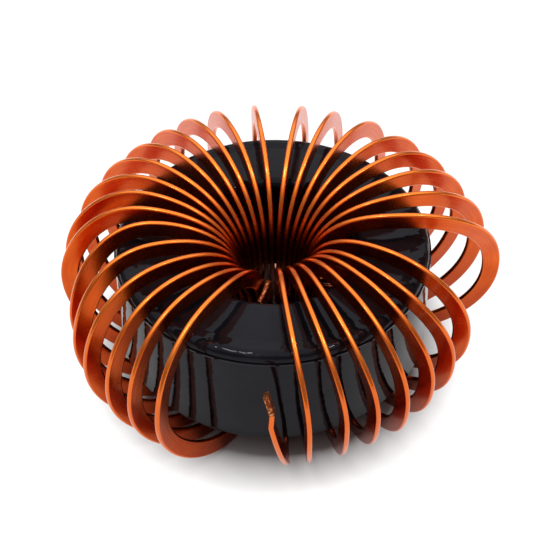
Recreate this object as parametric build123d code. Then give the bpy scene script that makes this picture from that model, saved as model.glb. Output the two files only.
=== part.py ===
from build123d import *

import os
from itertools import pairwise
from math import cos, pi, radians, sin, sqrt

# Toroidal inductor: a coated powder ring core inside a loose winding of flat wire set on edge.
# Millimetres, +Z up. The axis of the ring is the Z axis, and the turns stand on Z = 0.
# Azimuths are degrees about Z from +X, and turns are counted along the wire, anticlockwise
# seen from above. The front of the part, where both ends of the wire come out, faces -Y.

# Core: a pressed ring with rounded rims, each ending in a narrow land where the wall starts
core_outer_diameter = 47.6
core_inner_diameter = 24.6
core_height = 18.7
core_rim_radius = 1.4
core_land = 0.2

# Wire: flat enamelled copper
wire_width = 2.8
wire_thickness = 0.8

# Winding: each turn climbs through the hole, crosses over the core, drops outside and returns under it
turn_gap = 0.11
core_clearance = 0.35
first_hole_azimuth = -83.0
full_circle = 360.0
half_circle = 180.0

# Where each turn stands on the outside, and how far its crown swings out of line with its two sides
outside_azimuths = [
    -81, -71, -62, -53, -43, -33, -22, 5, 16, 26, 34, 44, 57, 70, 80,
    95, 108, 118, 127, 137, 146, 157, 169, 178, 194, 204, 213, 223, 231, 240,
]
crown_swings = [
    -2, -3, -4, -3, -4, -7, -5, -6, -4, -2, 0, 0, -1, -1, 0,
    2, 2, 1, 0, -1, -1, -3, -6, -7, -13, -8, -4, -4, -4, -4,
]

# How much further out than an average turn each one reaches, and how far it bulges
# where it leaves the hole, as shares of the turn's diameter
reach_shares = [
    -0.06, -0.06, -0.06, -0.05, -0.06, -0.06, -0.06, 0.07, 0.05, 0.04, 0.04, 0.04, 0.04, 0.03, 0.03,
    0.03, 0.03, 0.03, 0.02, 0.01, 0.01, 0.00, -0.01, -0.02, -0.06, -0.03, -0.01, -0.01, -0.01, 0.00,
]
bulge_shares = [
    0.05, 0.05, 0.05, 0.05, 0.04, 0.03, 0.03, 0.03, 0.02, 0.02, 0.02, 0.01, 0.00, 0.00, 0.01,
    0.01, 0.00, 0.00, 0.00, 0.00, 0.01, 0.01, 0.02, 0.03, 0.03, 0.03, 0.02, 0.01, 0.01, 0.02,
]
crown_reach_share = 0.5

# Outer end: it stands up in front of the core and bends from side to side on its way down
# and under the core. Angles are measured upwards from the turn's outermost point.
outer_end_reach_share = -0.06
outer_end_angles = [33, 21, 12, -40, -half_circle]
outer_end_azimuths = [-92.3, -90.6, -90.9, -86.4, first_hole_azimuth]

# Inner end: it bends out of the hole towards the core, below the core's upper rim
inner_end_clearance = 2.4
inner_end_height = 5.8
inner_end_bulge = 1.6
inner_end_lean = -14.0
inner_end_rise = 85.0

# Spans of the curve along each edge of the wire in half a turn, and the share of a span that sets its direction
half_turn_spans = 6
direction_share = 0.1

# The hole that is left in the middle: the wire packs evenly around it
turn_count = len(outside_azimuths)
hole_pitch = full_circle / (turn_count + 1)
bore_radius = (turn_count + 1) * (wire_thickness + turn_gap) / (2 * pi)

# Centres of the core's rounded rims
core_inner_radius = core_inner_diameter / 2
core_outer_radius = core_outer_diameter / 2
core_rim_inset = core_rim_radius + core_land
inner_rim_center = core_inner_radius + core_rim_inset
outer_rim_center = core_outer_radius - core_rim_inset
rim_half_span = core_height / 2 - core_rim_radius
rim_room = wire_width + core_rim_radius + core_clearance


def tightest_radius(rim_center):
    """Radius of the smallest round turn from the hole that clears the upper and lower rim on one side."""
    reach = rim_center - bore_radius
    return (reach + rim_room) / 2 + rim_half_span**2 / (2 * (reach - rim_room))


# An average turn, from the one that fits the core most closely
all_reach_shares = [outer_end_reach_share, *reach_shares]
narrowest_turn_radius = max(tightest_radius(inner_rim_center), tightest_radius(outer_rim_center))
turn_diameter = 2 * narrowest_turn_radius / (1 + min(all_reach_shares))
mid_height = turn_diameter / 2

# The wire's section, as insets from its outer edge and shifts to either side
section_corners = [
    (0.0, -wire_thickness / 2),
    (0.0, wire_thickness / 2),
    (wire_width, wire_thickness / 2),
    (wire_width, -wire_thickness / 2),
]


class HalfTurn:
    """Half a turn of wire, from the hole to the outside over the core, or from the outside back under it."""

    def __init__(
        self, half_width, half_height, hole_azimuth, outside_azimuth, swing=0.0, bulge=0.0, under=False
    ):
        self.center = bore_radius + half_width
        self.half_width = half_width
        self.half_height = half_height
        self.hole_azimuth = hole_azimuth
        self.outside_azimuth = outside_azimuth
        self.swing = swing
        self.bulge = bulge
        self.side = -1 if under else 1

    def azimuth(self, angle):
        """Where the wire stands at an angle from the outside."""
        along = cos(radians(angle))
        turned = (self.outside_azimuth - self.hole_azimuth) * (1 + along) / 2
        return self.hole_azimuth + turned + self.swing * (1 - along**2)

    def corner(self, angle, inset, shift):
        """Point at an angle from the outside, set in from the wire's outer edge and shifted sideways."""
        along, rise = cos(radians(angle)), sin(radians(angle))
        bulge = self.bulge * (2 * along * rise) ** 2 if along < 0 else 0
        radius = self.center + (self.half_width + bulge - inset) * along
        height = mid_height + self.side * (self.half_height + bulge - inset) * rise
        azimuth = radians(self.azimuth(angle))
        return Vector(
            radius * cos(azimuth) - shift * sin(azimuth),
            radius * sin(azimuth) + shift * cos(azimuth),
            height,
        )

    def edge(self, start, end, inset, shift):
        """One of the wire's four edges from one angle to another."""
        step = (end - start) / half_turn_spans
        points = [self.corner(start + i * step, inset, shift) for i in range(half_turn_spans + 1)]
        tangents = []
        for at in (start, end):
            before = self.corner(at - step * direction_share, inset, shift)
            after = self.corner(at + step * direction_share, inset, shift)
            tangents.append((after - before) * (half_turn_spans / (2 * direction_share)))
        parameters = [i / half_turn_spans for i in range(half_turn_spans + 1)]
        return Edge.make_spline(points, tangents=tangents, parameters=parameters, scale=False)

    def section(self, angle):
        """The wire's cut end at an angle."""
        return Face(Wire.make_polygon([self.corner(angle, *place) for place in section_corners]))

    def sides(self, start, end):
        """The wire's two flats and two edges from one angle to another."""
        edges = [self.edge(start, end, *place) for place in section_corners]
        neighbours = edges[1:] + edges[:1]
        return [Face.make_surface_from_curves(edge, other) for edge, other in zip(edges, neighbours)]


class BentHalfTurn(HalfTurn):
    """Half a turn that bends from side to side between the places in the outer end's table."""

    def __init__(self, half_width, half_height, under=False):
        super().__init__(half_width, half_height, first_hole_azimuth, first_hole_azimuth, under=under)

    def azimuth(self, angle):
        places = list(zip(outer_end_angles, outer_end_azimuths))
        raised = self.side * angle
        azimuth = places[0][1]
        for (high, before), (low, after) in pairwise(places):
            share = min(max((high - raised) / (high - low), 0), 1)
            azimuth += (after - before) * share
        return azimuth


def hole_azimuth(turn):
    """Where the wire climbs through the hole into a turn."""
    return first_hole_azimuth + turn * hole_pitch


def half_width(reach_share):
    return turn_diameter * (1 + reach_share) / 2


def crown_height(reach_share):
    return mid_height + turn_diameter * reach_share * crown_reach_share


def make_winding():
    """One wire from its outer end, through every turn, to its inner end."""
    end_width = half_width(outer_end_reach_share)
    end_height = crown_height(outer_end_reach_share)
    lead_in = BentHalfTurn(end_width, end_height)
    first_under = BentHalfTurn(end_width, mid_height, under=True)
    faces = [lead_in.section(outer_end_angles[0])]
    faces += lead_in.sides(outer_end_angles[0], 0)
    faces += first_under.sides(0, half_circle)
    turns = zip(outside_azimuths, crown_swings, reach_shares, bulge_shares)
    for turn, (outside, swing, reach, bulge) in enumerate(turns):
        width, crown = half_width(reach), crown_height(reach)
        over = HalfTurn(width, crown, hole_azimuth(turn), outside, swing, turn_diameter * bulge)
        under = HalfTurn(width, mid_height, hole_azimuth(turn + 1), outside, under=True)
        faces += over.sides(half_circle, 0)
        faces += under.sides(0, half_circle)
    curl = (core_inner_radius - inner_end_clearance - bore_radius) / (1 + cos(radians(inner_end_rise)))
    last_azimuth = hole_azimuth(turn_count)
    lead_out = HalfTurn(
        curl, inner_end_height, last_azimuth, last_azimuth + inner_end_lean, bulge=inner_end_bulge
    )
    faces += lead_out.sides(half_circle, inner_end_rise)
    faces.append(lead_out.section(inner_end_rise))
    return Solid(Shell(faces))


def seat_drop(reach_share, rim_center):
    """How far below mid height a rim of the core can lie inside a turn."""
    width = half_width(reach_share)
    aside = (bore_radius + width - rim_center) / (width - rim_room)
    return (mid_height - rim_room) * sqrt(1 - aside**2)


def make_core():
    """A ring turned from its section, resting in the turns that fit it most closely."""
    half = core_height / 2
    rim_foot = half - core_rim_radius
    rims = (inner_rim_center, outer_rim_center)
    drop = min(seat_drop(reach, rim) for reach in all_reach_shares for rim in rims)
    with BuildPart() as ring:
        with BuildSketch(Plane.XZ):
            with BuildLine():
                Polyline(
                    (core_outer_radius, 0),
                    (core_outer_radius, rim_foot),
                    (core_outer_radius - core_land, rim_foot),
                )
                RadiusArc(
                    (core_outer_radius - core_land, rim_foot), (outer_rim_center, half), -core_rim_radius
                )
                Line((outer_rim_center, half), (inner_rim_center, half))
                RadiusArc(
                    (inner_rim_center, half), (core_inner_radius + core_land, rim_foot), -core_rim_radius
                )
                Polyline(
                    (core_inner_radius + core_land, rim_foot),
                    (core_inner_radius, rim_foot),
                    (core_inner_radius, 0),
                )
                Line((core_inner_radius, 0), (core_outer_radius, 0))
            make_face()
            mirror(about=Plane.XZ)
        revolve(axis=Axis.Z)
    return ring.part.moved(Location((0, 0, mid_height - drop + rim_half_span)))


parts = {"core": make_core(), "winding": make_winding()}
os.makedirs("parts", exist_ok=True)
for name, solid in parts.items():
    export_step(solid, f"parts/{name}.step")
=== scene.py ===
from itertools import pairwise
from math import cos, pi, radians, sin

import bmesh
import bpy
from mathutils import Matrix, Vector


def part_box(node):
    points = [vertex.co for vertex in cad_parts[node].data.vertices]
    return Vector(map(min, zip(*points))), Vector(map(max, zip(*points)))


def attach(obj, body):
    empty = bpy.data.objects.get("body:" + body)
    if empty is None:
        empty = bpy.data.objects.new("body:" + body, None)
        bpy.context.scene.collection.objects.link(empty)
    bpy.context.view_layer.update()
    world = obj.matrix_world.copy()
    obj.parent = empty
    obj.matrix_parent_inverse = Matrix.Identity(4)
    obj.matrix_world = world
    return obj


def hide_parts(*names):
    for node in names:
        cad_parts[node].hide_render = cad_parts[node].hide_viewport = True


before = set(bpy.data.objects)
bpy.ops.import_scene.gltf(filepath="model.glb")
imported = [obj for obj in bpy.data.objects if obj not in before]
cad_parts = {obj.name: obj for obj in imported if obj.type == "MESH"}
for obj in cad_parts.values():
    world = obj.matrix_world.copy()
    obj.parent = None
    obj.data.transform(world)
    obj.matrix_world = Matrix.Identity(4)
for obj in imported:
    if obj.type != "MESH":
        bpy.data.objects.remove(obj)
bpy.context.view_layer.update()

# Toroidal inductor: a coated ring core inside a loose winding of flat wire set on edge.
# Metres, +Z up along the ring's axis. Azimuths are degrees about Z from +X, and the angles
# within a turn are degrees from its outermost point.
MM = 0.001
half_circle = 180.0
full_circle = 360.0

# Core
core_outer_diameter = 47.6 * MM
core_inner_diameter = 24.6 * MM
core_rim_radius = 1.4 * MM
core_land = 0.2 * MM
core_sides = 256
core_rim_steps = 8

# Wire: a little smaller than its solid, so that it stays inside it, and smaller still where it is stripped
wire_width = 2.8 * MM
wire_thickness = 0.8 * MM
wire_corner_radius = 0.3 * MM
width_allowance = 0.04 * MM
thickness_allowance = 0.02 * MM
stripped_share = 0.93

# Winding
turn_gap = 0.11 * MM
core_clearance = 0.35 * MM
first_hole_azimuth = -83.0
half_turn_steps = 40

# Where each turn stands on the outside, and how far its crown swings out of line with its two sides
outside_azimuths = [
    -81, -71, -62, -53, -43, -33, -22, 5, 16, 26, 34, 44, 57, 70, 80,
    95, 108, 118, 127, 137, 146, 157, 169, 178, 194, 204, 213, 223, 231, 240,
]
crown_swings = [
    -2, -3, -4, -3, -4, -7, -5, -6, -4, -2, 0, 0, -1, -1, 0,
    2, 2, 1, 0, -1, -1, -3, -6, -7, -13, -8, -4, -4, -4, -4,
]

# How much further out than an average turn each one reaches, and how far it bulges
# where it leaves the hole, as shares of the turn's diameter
reach_shares = [
    -0.06, -0.06, -0.06, -0.05, -0.06, -0.06, -0.06, 0.07, 0.05, 0.04, 0.04, 0.04, 0.04, 0.03, 0.03,
    0.03, 0.03, 0.03, 0.02, 0.01, 0.01, 0.00, -0.01, -0.02, -0.06, -0.03, -0.01, -0.01, -0.01, 0.00,
]
bulge_shares = [
    0.05, 0.05, 0.05, 0.05, 0.04, 0.03, 0.03, 0.03, 0.02, 0.02, 0.02, 0.01, 0.00, 0.00, 0.01,
    0.01, 0.00, 0.00, 0.00, 0.00, 0.01, 0.01, 0.02, 0.03, 0.03, 0.03, 0.02, 0.01, 0.01, 0.02,
]
crown_reach_share = 0.5

# Outer end: it stands up in front of the core and bends from side to side on its way down.
# Its enamel stops at an angle, and fades over a few degrees.
outer_end_reach_share = -0.06
outer_end_angles = [33, 21, 12, -40, -half_circle]
outer_end_azimuths = [-92.3, -90.6, -90.9, -86.4, first_hole_azimuth]
outer_end_bare, outer_end_fade = 20.5, 2.0
outer_end_steps = 24

# Inner end: it bends out of the hole towards the core
inner_end_clearance = 2.4 * MM
inner_end_height = 5.8 * MM
inner_end_bulge = 1.6 * MM
inner_end_lean = -14.0
inner_end_rise = 85.0
inner_end_bare, inner_end_fade = 150.0, -6.0
inner_end_steps = 30

# Where the enamel changes across the wire, and the bands of painted shade low on the bows, of painted
# highlight on the crowns and of painted shade in the hole
wire_edge_band = (1.05 * MM, 1.3 * MM)
painted_low_shade_band = (3.0 * MM, 16.0 * MM)
painted_crown_highlight_band = (18.0 * MM, 27.0 * MM)
painted_hole_shade_band = (5.0 * MM, 9.5 * MM)

# Floor: its size, and the band where its glow rises from none to white around the part, leaving painted
# shade close around and under the part
floor_reach = 40.0
painted_floor_shade_band = (22.5 * MM, 29.8 * MM)

# What follows from the frame and the sizes above
core_low, core_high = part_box("core")
core_height = core_high.z - core_low.z
core_middle = (core_low.z + core_high.z) / 2
core_inner_radius = core_inner_diameter / 2
core_outer_radius = core_outer_diameter / 2
core_rim_inset = core_rim_radius + core_land
inner_rim_center = core_inner_radius + core_rim_inset
outer_rim_center = core_outer_radius - core_rim_inset
rim_half_span = core_height / 2 - core_rim_radius
rim_room = wire_width + core_rim_radius + core_clearance
turn_count = len(outside_azimuths)
hole_pitch = full_circle / (turn_count + 1)
bore_radius = (turn_count + 1) * (wire_thickness + turn_gap) / (2 * pi)


def tightest_radius(rim_center):
    """Radius of the smallest round turn from the hole that clears the upper and lower rim on one side."""
    reach = rim_center - bore_radius
    return (reach + rim_room) / 2 + rim_half_span**2 / (2 * (reach - rim_room))


narrowest_turn_radius = max(tightest_radius(inner_rim_center), tightest_radius(outer_rim_center))
turn_diameter = 2 * narrowest_turn_radius / (1 + min(outer_end_reach_share, *reach_shares))
mid_height = turn_diameter / 2


# Node helpers
def feed(tree, socket, value):
    """Links an input to an output, or sets its plain value."""
    if isinstance(value, bpy.types.NodeSocket):
        tree.links.new(value, socket)
    else:
        socket.default_value = value


def new_node(tree, kind, inputs=None, **settings):
    """A node, with its inputs by place or name and its properties by name."""
    node = tree.nodes.new(kind)
    for name, value in settings.items():
        setattr(node, name, value)
    for key, value in (inputs or {}).items():
        feed(tree, node.inputs[key], value)
    return node


def math_node(tree, operation, *values, clamp=False):
    inputs = dict(enumerate(values))
    return new_node(tree, "ShaderNodeMath", inputs, operation=operation, use_clamp=clamp).outputs[0]


def plus(tree, first, second):
    return math_node(tree, "ADD", first, second)


def times(tree, first, second):
    return math_node(tree, "MULTIPLY", first, second)


def span(tree, value, low, high, to_low=0.0, to_high=1.0):
    """A value stretched from one range to another, without going past its ends."""
    inputs = {0: value, 1: low, 2: high, 3: to_low, 4: to_high}
    return new_node(tree, "ShaderNodeMapRange", inputs, clamp=True).outputs["Result"]


def color_mix(tree, factor, first, second):
    inputs = {0: factor, 6: first, 7: second}
    return new_node(tree, "ShaderNodeMix", inputs, data_type="RGBA", clamp_factor=True).outputs[2]


def noise(tree, **inputs):
    return new_node(tree, "ShaderNodeTexNoise", inputs).outputs["Fac"]


def attribute(tree, name):
    return new_node(tree, "ShaderNodeAttribute", attribute_name=name).outputs["Fac"]


def object_place(tree):
    return new_node(tree, "ShaderNodeTexCoord").outputs["Object"]


def height_above_floor(tree, place):
    return new_node(tree, "ShaderNodeSeparateXYZ", {0: place}).outputs["Z"]


def distance_from_axis(tree, place):
    level = new_node(tree, "ShaderNodeVectorMath", {0: place, 1: (1, 1, 0)}, operation="MULTIPLY")
    return new_node(tree, "ShaderNodeVectorMath", {0: level.outputs[0]}, operation="LENGTH").outputs["Value"]


def linear(red, green, blue):
    """A colour as it is seen on screen, from 0 to 255, in the render's own terms."""
    parts = [value / 255 for value in (red, green, blue)]
    return tuple(p / 12.92 if p < 0.04045 else ((p + 0.055) / 1.055) ** 2.4 for p in parts) + (1.0,)


# Finishes
def make_cloudy_group():
    """Soft blotches and fine specks at a given scale, for finishes that vary over a surface."""
    group = bpy.data.node_groups.new("cloudy_finish", "ShaderNodeTree")
    face = group.interface
    face.new_socket("Place", in_out="INPUT", socket_type="NodeSocketVector")
    face.new_socket("Blotch Scale", in_out="INPUT", socket_type="NodeSocketFloat")
    face.new_socket("Speck Scale", in_out="INPUT", socket_type="NodeSocketFloat")
    face.new_socket("Blotches", in_out="OUTPUT", socket_type="NodeSocketFloat")
    face.new_socket("Specks", in_out="OUTPUT", socket_type="NodeSocketFloat")
    place, blotch_scale, speck_scale = new_node(group, "NodeGroupInput").outputs[:3]
    blotches = noise(group, Vector=place, Scale=blotch_scale, Detail=3.0, Roughness=0.55)
    specks = noise(group, Vector=place, Scale=speck_scale, Detail=2.0, Roughness=0.6)
    results = {"Blotches": span(group, blotches, 0.3, 0.7), "Specks": span(group, specks, 0.35, 0.7)}
    new_node(group, "NodeGroupOutput", results)
    return group


def place_clouds(tree, group, place, blotch_scale, speck_scale):
    """The blotches and specks of the cloudy group, at a finish's own scales."""
    node = new_node(tree, "ShaderNodeGroup", node_tree=group)
    feed(tree, node.inputs["Place"], place)
    feed(tree, node.inputs["Blotch Scale"], blotch_scale)
    feed(tree, node.inputs["Speck Scale"], speck_scale)
    return node.outputs["Blotches"], node.outputs["Specks"]


def new_finish(name, **sockets):
    """A material with one shader, its plain values on the shader's own sockets."""
    material = bpy.data.materials.new(name)
    material.use_nodes = True
    tree = material.node_tree
    shader = tree.nodes["Principled BSDF"]
    for socket, value in sockets.items():
        shader.inputs[socket.replace("_", " ")].default_value = value
    return material, tree, shader


def make_wire_finish(cloudy):
    """Amber enamel over copper, with bare scraped copper where the ends are stripped, painted shade low on
    the bows and in the hole, and a painted highlight on the crowns.
    """
    material, tree, shader = new_finish(
        "enamelled_copper", Metallic=1.0, Coat_Roughness=0.08, Coat_IOR=1.5
    )
    across = attribute(tree, "across")
    place = object_place(tree)
    height = height_above_floor(tree, place)
    blotches, specks = place_clouds(tree, cloudy, place, 260.0, 2600.0)

    # Drawing marks run along the wire
    along = times(tree, attribute(tree, "along"), 0.03)
    drawn = new_node(tree, "ShaderNodeCombineXYZ", {0: along, 1: across, 2: attribute(tree, "through")})
    marks = noise(tree, Vector=drawn.outputs[0], Scale=6000.0, Detail=2.0)
    streaks = span(tree, marks, 0.35, 0.65, 0.0, 0.4)

    # Painted shade: the flats are darker and redder on the lower bows
    flats = color_mix(tree, blotches, linear(205, 82, 19), linear(223, 98, 28))
    flats = color_mix(tree, streaks, flats, linear(180, 57, 13))
    painted_low_shade = span(tree, height, *painted_low_shade_band, 0.65, 0.0)
    flats = color_mix(tree, painted_low_shade, flats, linear(128, 36, 16))

    # Painted highlight: the edges are more golden on the crowns, as if lit brightly from overhead
    low_edges = color_mix(tree, blotches, linear(212, 94, 19), linear(222, 106, 26))
    painted_highlight_edges = color_mix(tree, blotches, linear(246, 116, 28), linear(251, 131, 39))
    edges = color_mix(tree, span(tree, height, *painted_crown_highlight_band), low_edges, painted_highlight_edges)
    edge = span(tree, math_node(tree, "ABSOLUTE", across), *wire_edge_band)
    amber = color_mix(tree, edge, flats, edges)

    # Painted shade: the enamel is darker where the turns crowd together in the hole
    painted_hole_shade = span(tree, distance_from_axis(tree, place), *painted_hole_shade_band, 0.55, 0.0)
    amber = color_mix(tree, painted_hole_shade, amber, linear(64, 18, 13))

    # Scraped copper at the ends is speckled, rougher and has no enamel over it
    bare = attribute(tree, "bare")
    scraped = span(tree, plus(tree, bare, times(tree, specks, 0.3)), 0.5, 0.8)
    copper = color_mix(tree, span(tree, specks, 0.3, 0.75), linear(134, 64, 34), linear(226, 156, 100))
    tree.links.new(color_mix(tree, scraped, amber, copper), shader.inputs["Base Color"])

    enamel_roughness = plus(tree, times(tree, blotches, 0.08), 0.22)
    roughness = plus(tree, enamel_roughness, times(tree, scraped, 0.2))
    tree.links.new(roughness, shader.inputs["Roughness"])

    enamelled = math_node(tree, "SUBTRACT", 1.0, scraped)
    coat = times(tree, enamelled, span(tree, edge, 0.0, 1.0, 0.12, 0.4))
    tree.links.new(coat, shader.inputs["Coat Weight"])

    scrapes = times(tree, times(tree, specks, scraped), 4.0)
    relief = plus(tree, times(tree, marks, 0.25), scrapes)
    bump = new_node(tree, "ShaderNodeBump", {"Strength": 0.35, "Distance": 0.03 * MM, "Height": relief})
    tree.links.new(bump.outputs[0], shader.inputs["Normal"])
    return material


def make_core_finish(cloudy):
    """Glossy black epoxy coat, slightly uneven."""
    material, tree, shader = new_finish(
        "black_epoxy_coat",
        Metallic=0.0,
        IOR=1.5,
        Specular_IOR_Level=0.13,
        Specular_Tint=(0.9, 0.86, 1.0, 1.0),
    )
    place = object_place(tree)
    blotches, specks = place_clouds(tree, cloudy, place, 180.0, 2400.0)
    black = color_mix(tree, blotches, linear(12, 12, 15), linear(22, 22, 27))
    tree.links.new(black, shader.inputs["Base Color"])
    tree.links.new(plus(tree, times(tree, blotches, 0.05), 0.03), shader.inputs["Roughness"])

    # The coat gathered unevenly over the outer rims
    height = height_above_floor(tree, place)
    from_middle = math_node(tree, "ABSOLUTE", math_node(tree, "SUBTRACT", height, core_middle))
    rims = span(tree, from_middle, core_height / 2 - 1.6 * MM, core_height / 2 - 0.6 * MM)
    from_axis = distance_from_axis(tree, place)
    outside = span(tree, from_axis, core_outer_radius - 3.2 * MM, core_outer_radius - 1.8 * MM)
    lumps = times(tree, noise(tree, Vector=place, Scale=300.0, Detail=2.0), 14.0)
    gathered = times(tree, times(tree, rims, outside), lumps)

    relief = plus(tree, plus(tree, blotches, times(tree, specks, 0.08)), gathered)
    bump = new_node(tree, "ShaderNodeBump", {"Strength": 0.25, "Distance": 0.1 * MM, "Height": relief})
    tree.links.new(bump.outputs[0], shader.inputs["Normal"])
    return material


# Pieces in place of the frame's nodes
def make_piece(name, shape, material, node):
    """A finished piece in place of a node: smooth, crisp at its corners, and flat where it is flat."""
    bmesh.ops.recalc_face_normals(shape, faces=shape.faces)
    for face in shape.faces:
        face.smooth = True
    for edge in shape.edges:
        edge.smooth = edge.calc_face_angle() < radians(40)
    mesh = bpy.data.meshes.new(name)
    shape.to_mesh(mesh)
    shape.free()
    piece = bpy.data.objects.new(name, mesh)
    bpy.context.scene.collection.objects.link(piece)
    shading = piece.modifiers.new("flat_shading", "WEIGHTED_NORMAL")
    shading.keep_sharp = True
    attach(piece, "root")
    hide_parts(node)
    mesh.materials.append(material)


def settle(maker):
    """The finished shape of an object with a node tree, which it takes the place of."""
    bpy.context.view_layer.update()
    shaped = maker.evaluated_get(bpy.context.evaluated_depsgraph_get())
    mesh = bpy.data.meshes.new_from_object(shaped)
    bpy.data.objects.remove(maker)
    shape = bmesh.new()
    shape.from_mesh(mesh)
    bpy.data.meshes.remove(mesh)
    return shape


# The winding
class HalfTurn:
    """Half a turn of wire, from the hole to the outside over the core, or from the outside back under it."""

    def __init__(
        self, half_width, half_height, hole_azimuth, outside_azimuth, swing=0.0, bulge=0.0, under=False
    ):
        self.center = bore_radius + half_width
        self.half_width = half_width
        self.half_height = half_height
        self.hole_azimuth = hole_azimuth
        self.outside_azimuth = outside_azimuth
        self.swing = swing
        self.bulge = bulge
        self.side = -1 if under else 1

    def azimuth(self, angle):
        """Where the wire stands at an angle from the outside."""
        along = cos(radians(angle))
        turned = (self.outside_azimuth - self.hole_azimuth) * (1 + along) / 2
        return self.hole_azimuth + turned + self.swing * (1 - along**2)

    def middle(self, angle):
        """The middle of the wire at an angle from the outside, and the direction of its outer edge."""
        along = cos(radians(angle))
        rise = self.side * sin(radians(angle))
        bulge = self.bulge * (2 * along * rise) ** 2 if along < 0 else 0
        azimuth = radians(self.azimuth(angle))
        outward = Vector((cos(azimuth), sin(azimuth), 0))
        radius = self.center + (self.half_width + bulge - wire_width / 2) * along
        height = mid_height + (self.half_height + bulge - wire_width / 2) * rise
        return outward * radius + Vector((0, 0, height)), outward * along + Vector((0, 0, rise))

    def trace(self, start, end, steps=half_turn_steps, bare_from=None, bare_fade=None):
        """Points from one angle to another as (middle, edge direction, how bare the wire is)."""
        points = []
        for i in range(steps + 1):
            angle = start + (end - start) * i / steps
            bare = 0.0
            if bare_from is not None:
                bare = min(1.0, max(0.0, (angle - bare_from) / bare_fade + 0.5))
            points.append((*self.middle(angle), bare))
        return points


class BentHalfTurn(HalfTurn):
    """Half a turn that bends from side to side between the places in the outer end's table."""

    def __init__(self, half_width, half_height, under=False):
        super().__init__(half_width, half_height, first_hole_azimuth, first_hole_azimuth, under=under)

    def azimuth(self, angle):
        places = list(zip(outer_end_angles, outer_end_azimuths))
        azimuth = places[0][1]
        for (high, before), (low, after) in pairwise(places):
            share = min(max((high - self.side * angle) / (high - low), 0), 1)
            azimuth += (after - before) * share
        return azimuth


def hole_azimuth(turn):
    """Where the wire climbs through the hole into a turn."""
    return first_hole_azimuth + turn * hole_pitch


def half_width(reach_share):
    return turn_diameter * (1 + reach_share) / 2


def crown_height(reach_share):
    return mid_height + turn_diameter * reach_share * crown_reach_share


def wire_route():
    """Points along the whole wire, from its outer end to its inner end."""
    end_width = half_width(outer_end_reach_share)
    outer_end = BentHalfTurn(end_width, crown_height(outer_end_reach_share))
    first_under = BentHalfTurn(end_width, mid_height, under=True)
    route = outer_end.trace(outer_end_angles[0], 0, outer_end_steps, outer_end_bare, outer_end_fade)
    route += first_under.trace(0, half_circle)[1:]
    turns = zip(outside_azimuths, crown_swings, reach_shares, bulge_shares)
    for turn, (outside, swing, reach, bulge) in enumerate(turns):
        width, crown = half_width(reach), crown_height(reach)
        over = HalfTurn(width, crown, hole_azimuth(turn), outside, swing, turn_diameter * bulge)
        under = HalfTurn(width, mid_height, hole_azimuth(turn + 1), outside, under=True)
        route += over.trace(half_circle, 0)[1:]
        route += under.trace(0, half_circle)[1:]
    curl = (core_inner_radius - inner_end_clearance - bore_radius) / (1 + cos(radians(inner_end_rise)))
    last = hole_azimuth(turn_count)
    inner_end = HalfTurn(curl, inner_end_height, last, last + inner_end_lean, bulge=inner_end_bulge)
    way_out = inner_end.trace(half_circle, inner_end_rise, inner_end_steps, inner_end_bare, inner_end_fade)
    return route + way_out[1:]


def make_wire_tree(material):
    """Sweeps a flat section with rounded corners along a route of points."""
    tree = bpy.data.node_groups.new("flat_wire_sweep", "GeometryNodeTree")
    face = tree.interface
    face.new_socket("Route", in_out="INPUT", socket_type="NodeSocketGeometry")
    for name in ("Wire Width", "Wire Thickness", "Corner Radius", "Stripped Share"):
        face.new_socket(name, in_out="INPUT", socket_type="NodeSocketFloat")
    face.new_socket("Wire", in_out="OUTPUT", socket_type="NodeSocketGeometry")
    route, width, thickness, corner, stripped = new_node(tree, "NodeGroupInput").outputs[:5]

    def route_value(name, kind):
        return new_node(tree, "GeometryNodeInputNamedAttribute", {0: name}, data_type=kind).outputs[0]

    def store(geometry, name, value):
        inputs = {"Geometry": geometry, "Name": name, "Value": value}
        return new_node(tree, "GeometryNodeStoreNamedAttribute", inputs, data_type="FLOAT").outputs[0]

    # The route, turned to the wire's edge, thinner where the wire is bare and measured along its length
    curve = new_node(tree, "GeometryNodeMeshToCurve", {0: route}).outputs[0]
    facing = {"Curve": curve, "Normal": route_value("edge_direction", "FLOAT_VECTOR")}
    curve = new_node(tree, "GeometryNodeSetCurveNormal", facing, mode="FREE").outputs[0]
    loss = times(tree, route_value("bare", "FLOAT"), math_node(tree, "SUBTRACT", 1.0, stripped))
    sizing = {"Curve": curve, "Radius": math_node(tree, "SUBTRACT", 1.0, loss)}
    curve = new_node(tree, "GeometryNodeSetCurveRadius", sizing).outputs[0]
    curve = store(curve, "along", new_node(tree, "GeometryNodeSplineParameter").outputs["Length"])

    # The section, marked with the place of each point across and through the wire
    sizes = {"Width": width, "Height": thickness}
    section = new_node(tree, "GeometryNodeCurvePrimitiveQuadrilateral", sizes).outputs[0]
    rounding = {"Curve": section, "Count": 4, "Radius": corner}
    section = new_node(tree, "GeometryNodeFilletCurve", rounding, mode="POLY").outputs[0]
    position = new_node(tree, "GeometryNodeInputPosition").outputs[0]
    across, through, _ = new_node(tree, "ShaderNodeSeparateXYZ", {0: position}).outputs
    section = store(store(section, "across", across), "through", through)

    sweep = {"Curve": curve, "Profile Curve": section, "Fill Caps": True}
    wire = new_node(tree, "GeometryNodeCurveToMesh", sweep).outputs[0]
    wire = new_node(tree, "GeometryNodeRealizeInstances", {0: wire}).outputs[0]
    wire = new_node(tree, "GeometryNodeSetMaterial", {"Geometry": wire, "Material": material}).outputs[0]
    new_node(tree, "NodeGroupOutput", {"Wire": wire})
    return tree


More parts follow.
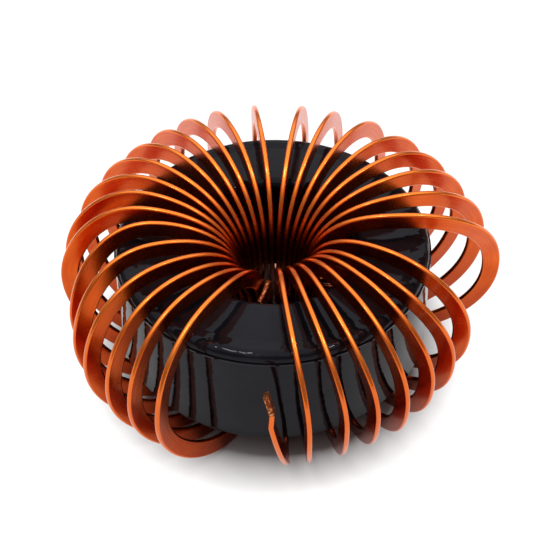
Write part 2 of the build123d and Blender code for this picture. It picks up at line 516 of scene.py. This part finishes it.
def make_winding(material):
    """One wire through every turn, swept along its route."""
    route = wire_route()
    middles, directions, bare_shares = zip(*route)
    line = bpy.data.meshes.new("wire_route")
    line.from_pydata(middles, list(pairwise(range(len(route)))), [])
    direction = line.attributes.new("edge_direction", "FLOAT_VECTOR", "POINT")
    direction.data.foreach_set("vector", [part for edge in directions for part in edge])
    bare = line.attributes.new("bare", "FLOAT", "POINT")
    bare.data.foreach_set("value", bare_shares)
    maker = bpy.data.objects.new("wire_maker", line)
    bpy.context.scene.collection.objects.link(maker)

    sweep = maker.modifiers.new("sweep", "NODES")
    sweep.node_group = make_wire_tree(material)
    sizes = {
        "Wire Width": wire_width - width_allowance,
        "Wire Thickness": wire_thickness - thickness_allowance,
        "Corner Radius": wire_corner_radius,
        "Stripped Share": stripped_share,
    }
    for item in sweep.node_group.interface.items_tree:
        if item.name in sizes:
            sweep[item.identifier] = sizes[item.name]
    make_piece("flat_wire_winding", settle(maker), material, "winding")


# The core
def rim_arc(center, level, start):
    """A quarter round of the core's section from an angle, about a centre at a radius and a level."""
    points = []
    for i in range(core_rim_steps + 1):
        angle = radians(start + 90 * i / core_rim_steps)
        points.append((center + core_rim_radius * cos(angle), level + core_rim_radius * sin(angle)))
    return points


def core_section():
    """The ring's section as radii and levels from its middle, from the top of its outer wall round."""
    return [
        (core_outer_radius, rim_half_span),
        *rim_arc(outer_rim_center, rim_half_span, 0),
        *rim_arc(inner_rim_center, rim_half_span, 90),
        (core_inner_radius, rim_half_span),
        (core_inner_radius, -rim_half_span),
        *rim_arc(inner_rim_center, -rim_half_span, 180),
        *rim_arc(outer_rim_center, -rim_half_span, 270),
        (core_outer_radius, -rim_half_span),
    ]


def make_core(material):
    """The coated ring, turned from its section."""
    section = core_section()
    shape = bmesh.new()
    rings = []
    for i in range(core_sides):
        azimuth = 2 * pi * i / core_sides
        places = [(r * cos(azimuth), r * sin(azimuth), core_middle + z) for r, z in section]
        rings.append([shape.verts.new(place) for place in places])
    for before, after in pairwise([*rings, rings[0]]):
        for j, k in pairwise([*range(len(section)), 0]):
            shape.faces.new((before[j], after[j], after[k], before[k]))
    make_piece("coated_core", shape, material, "core")


# Surroundings
def make_floor():
    """A white floor that glows for camera and reflection rays away from the part, its glow fading out near
    the part as painted shade, while its lit colour keeps the part's shadow.
    """
    mesh = bpy.data.meshes.new("floor")
    corners = [(-1, -1), (1, -1), (1, 1), (-1, 1)]
    mesh.from_pydata([(x * floor_reach, y * floor_reach, 0) for x, y in corners], [], [(0, 1, 2, 3)])
    floor = bpy.data.objects.new("floor", mesh)
    bpy.context.scene.collection.objects.link(floor)
    material, tree, shader = new_finish(
        "white_floor",
        Base_Color=(0.32, 0.31, 0.31, 1),
        Roughness=0.9,
        Specular_IOR_Level=0.0,
        Emission_Color=(1, 1, 1, 1),
    )
    away = distance_from_axis(tree, object_place(tree))
    rays = new_node(tree, "ShaderNodeLightPath").outputs
    seen = plus(tree, rays["Is Camera Ray"], rays["Is Glossy Ray"])
    seen = math_node(tree, "ADD", seen, rays["Is Transmission Ray"], clamp=True)
    # Painted shade: the glow is masked off close around and under the part
    glow_with_painted_shade = span(tree, away, *painted_floor_shade_band, 0.0, 0.8)
    tree.links.new(times(tree, seen, glow_with_painted_shade), shader.inputs["Emission Strength"])
    mesh.materials.append(material)


def make_world():
    """A dome that is brightest overhead and a little brighter behind than in front."""
    world = bpy.data.worlds.new("studio")
    bpy.context.scene.world = world
    world.use_nodes = True
    tree = world.node_tree
    background = tree.nodes["Background"]
    background.inputs["Color"].default_value = (1, 1, 1, 1)
    toward = new_node(tree, "ShaderNodeTexCoord").outputs["Generated"]
    _, behind, up = new_node(tree, "ShaderNodeSeparateXYZ", {0: toward}).outputs
    overhead = plus(tree, up, times(tree, behind, 0.2))
    levels = {0: overhead, 1: 0.45, 2: 0.85, 3: 0.34, 4: 1.5}
    dome = new_node(tree, "ShaderNodeMapRange", levels, interpolation_type="SMOOTHSTEP")
    tree.links.new(dome.outputs[0], background.inputs["Strength"])


def make_lamp(name, place, size, power):
    """A small round lamp that shines on the middle of the part."""
    lamp = bpy.data.lights.new(name, "AREA")
    lamp.shape = "DISK"
    lamp.size = size
    lamp.energy = power
    holder = bpy.data.objects.new(name, lamp)
    holder.location = place
    toward = Vector((0, 0, core_middle)) - Vector(place)
    holder.rotation_euler = toward.to_track_quat("-Z", "Y").to_euler()
    bpy.context.scene.collection.objects.link(holder)


def make_camera():
    """The photograph's view: from the front, halfway up, with a slight roll."""
    elevation, roll, distance = radians(45.76), radians(0.67), 0.238
    target = Vector((0.31 * MM, 1.74 * MM, 13.97 * MM))
    place = target + distance * Vector((0, -cos(elevation), sin(elevation)))
    lens = bpy.data.cameras.new("camera")
    lens.sensor_width = 36.0
    lens.lens = 100.54
    lens.clip_start = 0.01
    holder = bpy.data.objects.new("camera", lens)
    aim = (target - place).to_track_quat("-Z", "Y").to_matrix().to_4x4()
    holder.matrix_world = Matrix.Translation(place) @ aim @ Matrix.Rotation(-roll, 4, "Z")
    bpy.context.scene.collection.objects.link(holder)
    bpy.context.scene.camera = holder


make_camera()
cloudy_finish = make_cloudy_group()
make_winding(make_wire_finish(cloudy_finish))
make_core(make_core_finish(cloudy_finish))
make_floor()
make_world()
make_lamp("left_lamp", (-0.12, -0.1, 0.5), 0.08, 0.35)
make_lamp("right_lamp", (0.18, -0.08, 0.46), 0.05, 0.2)
bpy.context.scene.view_settings.view_transform = "Standard"
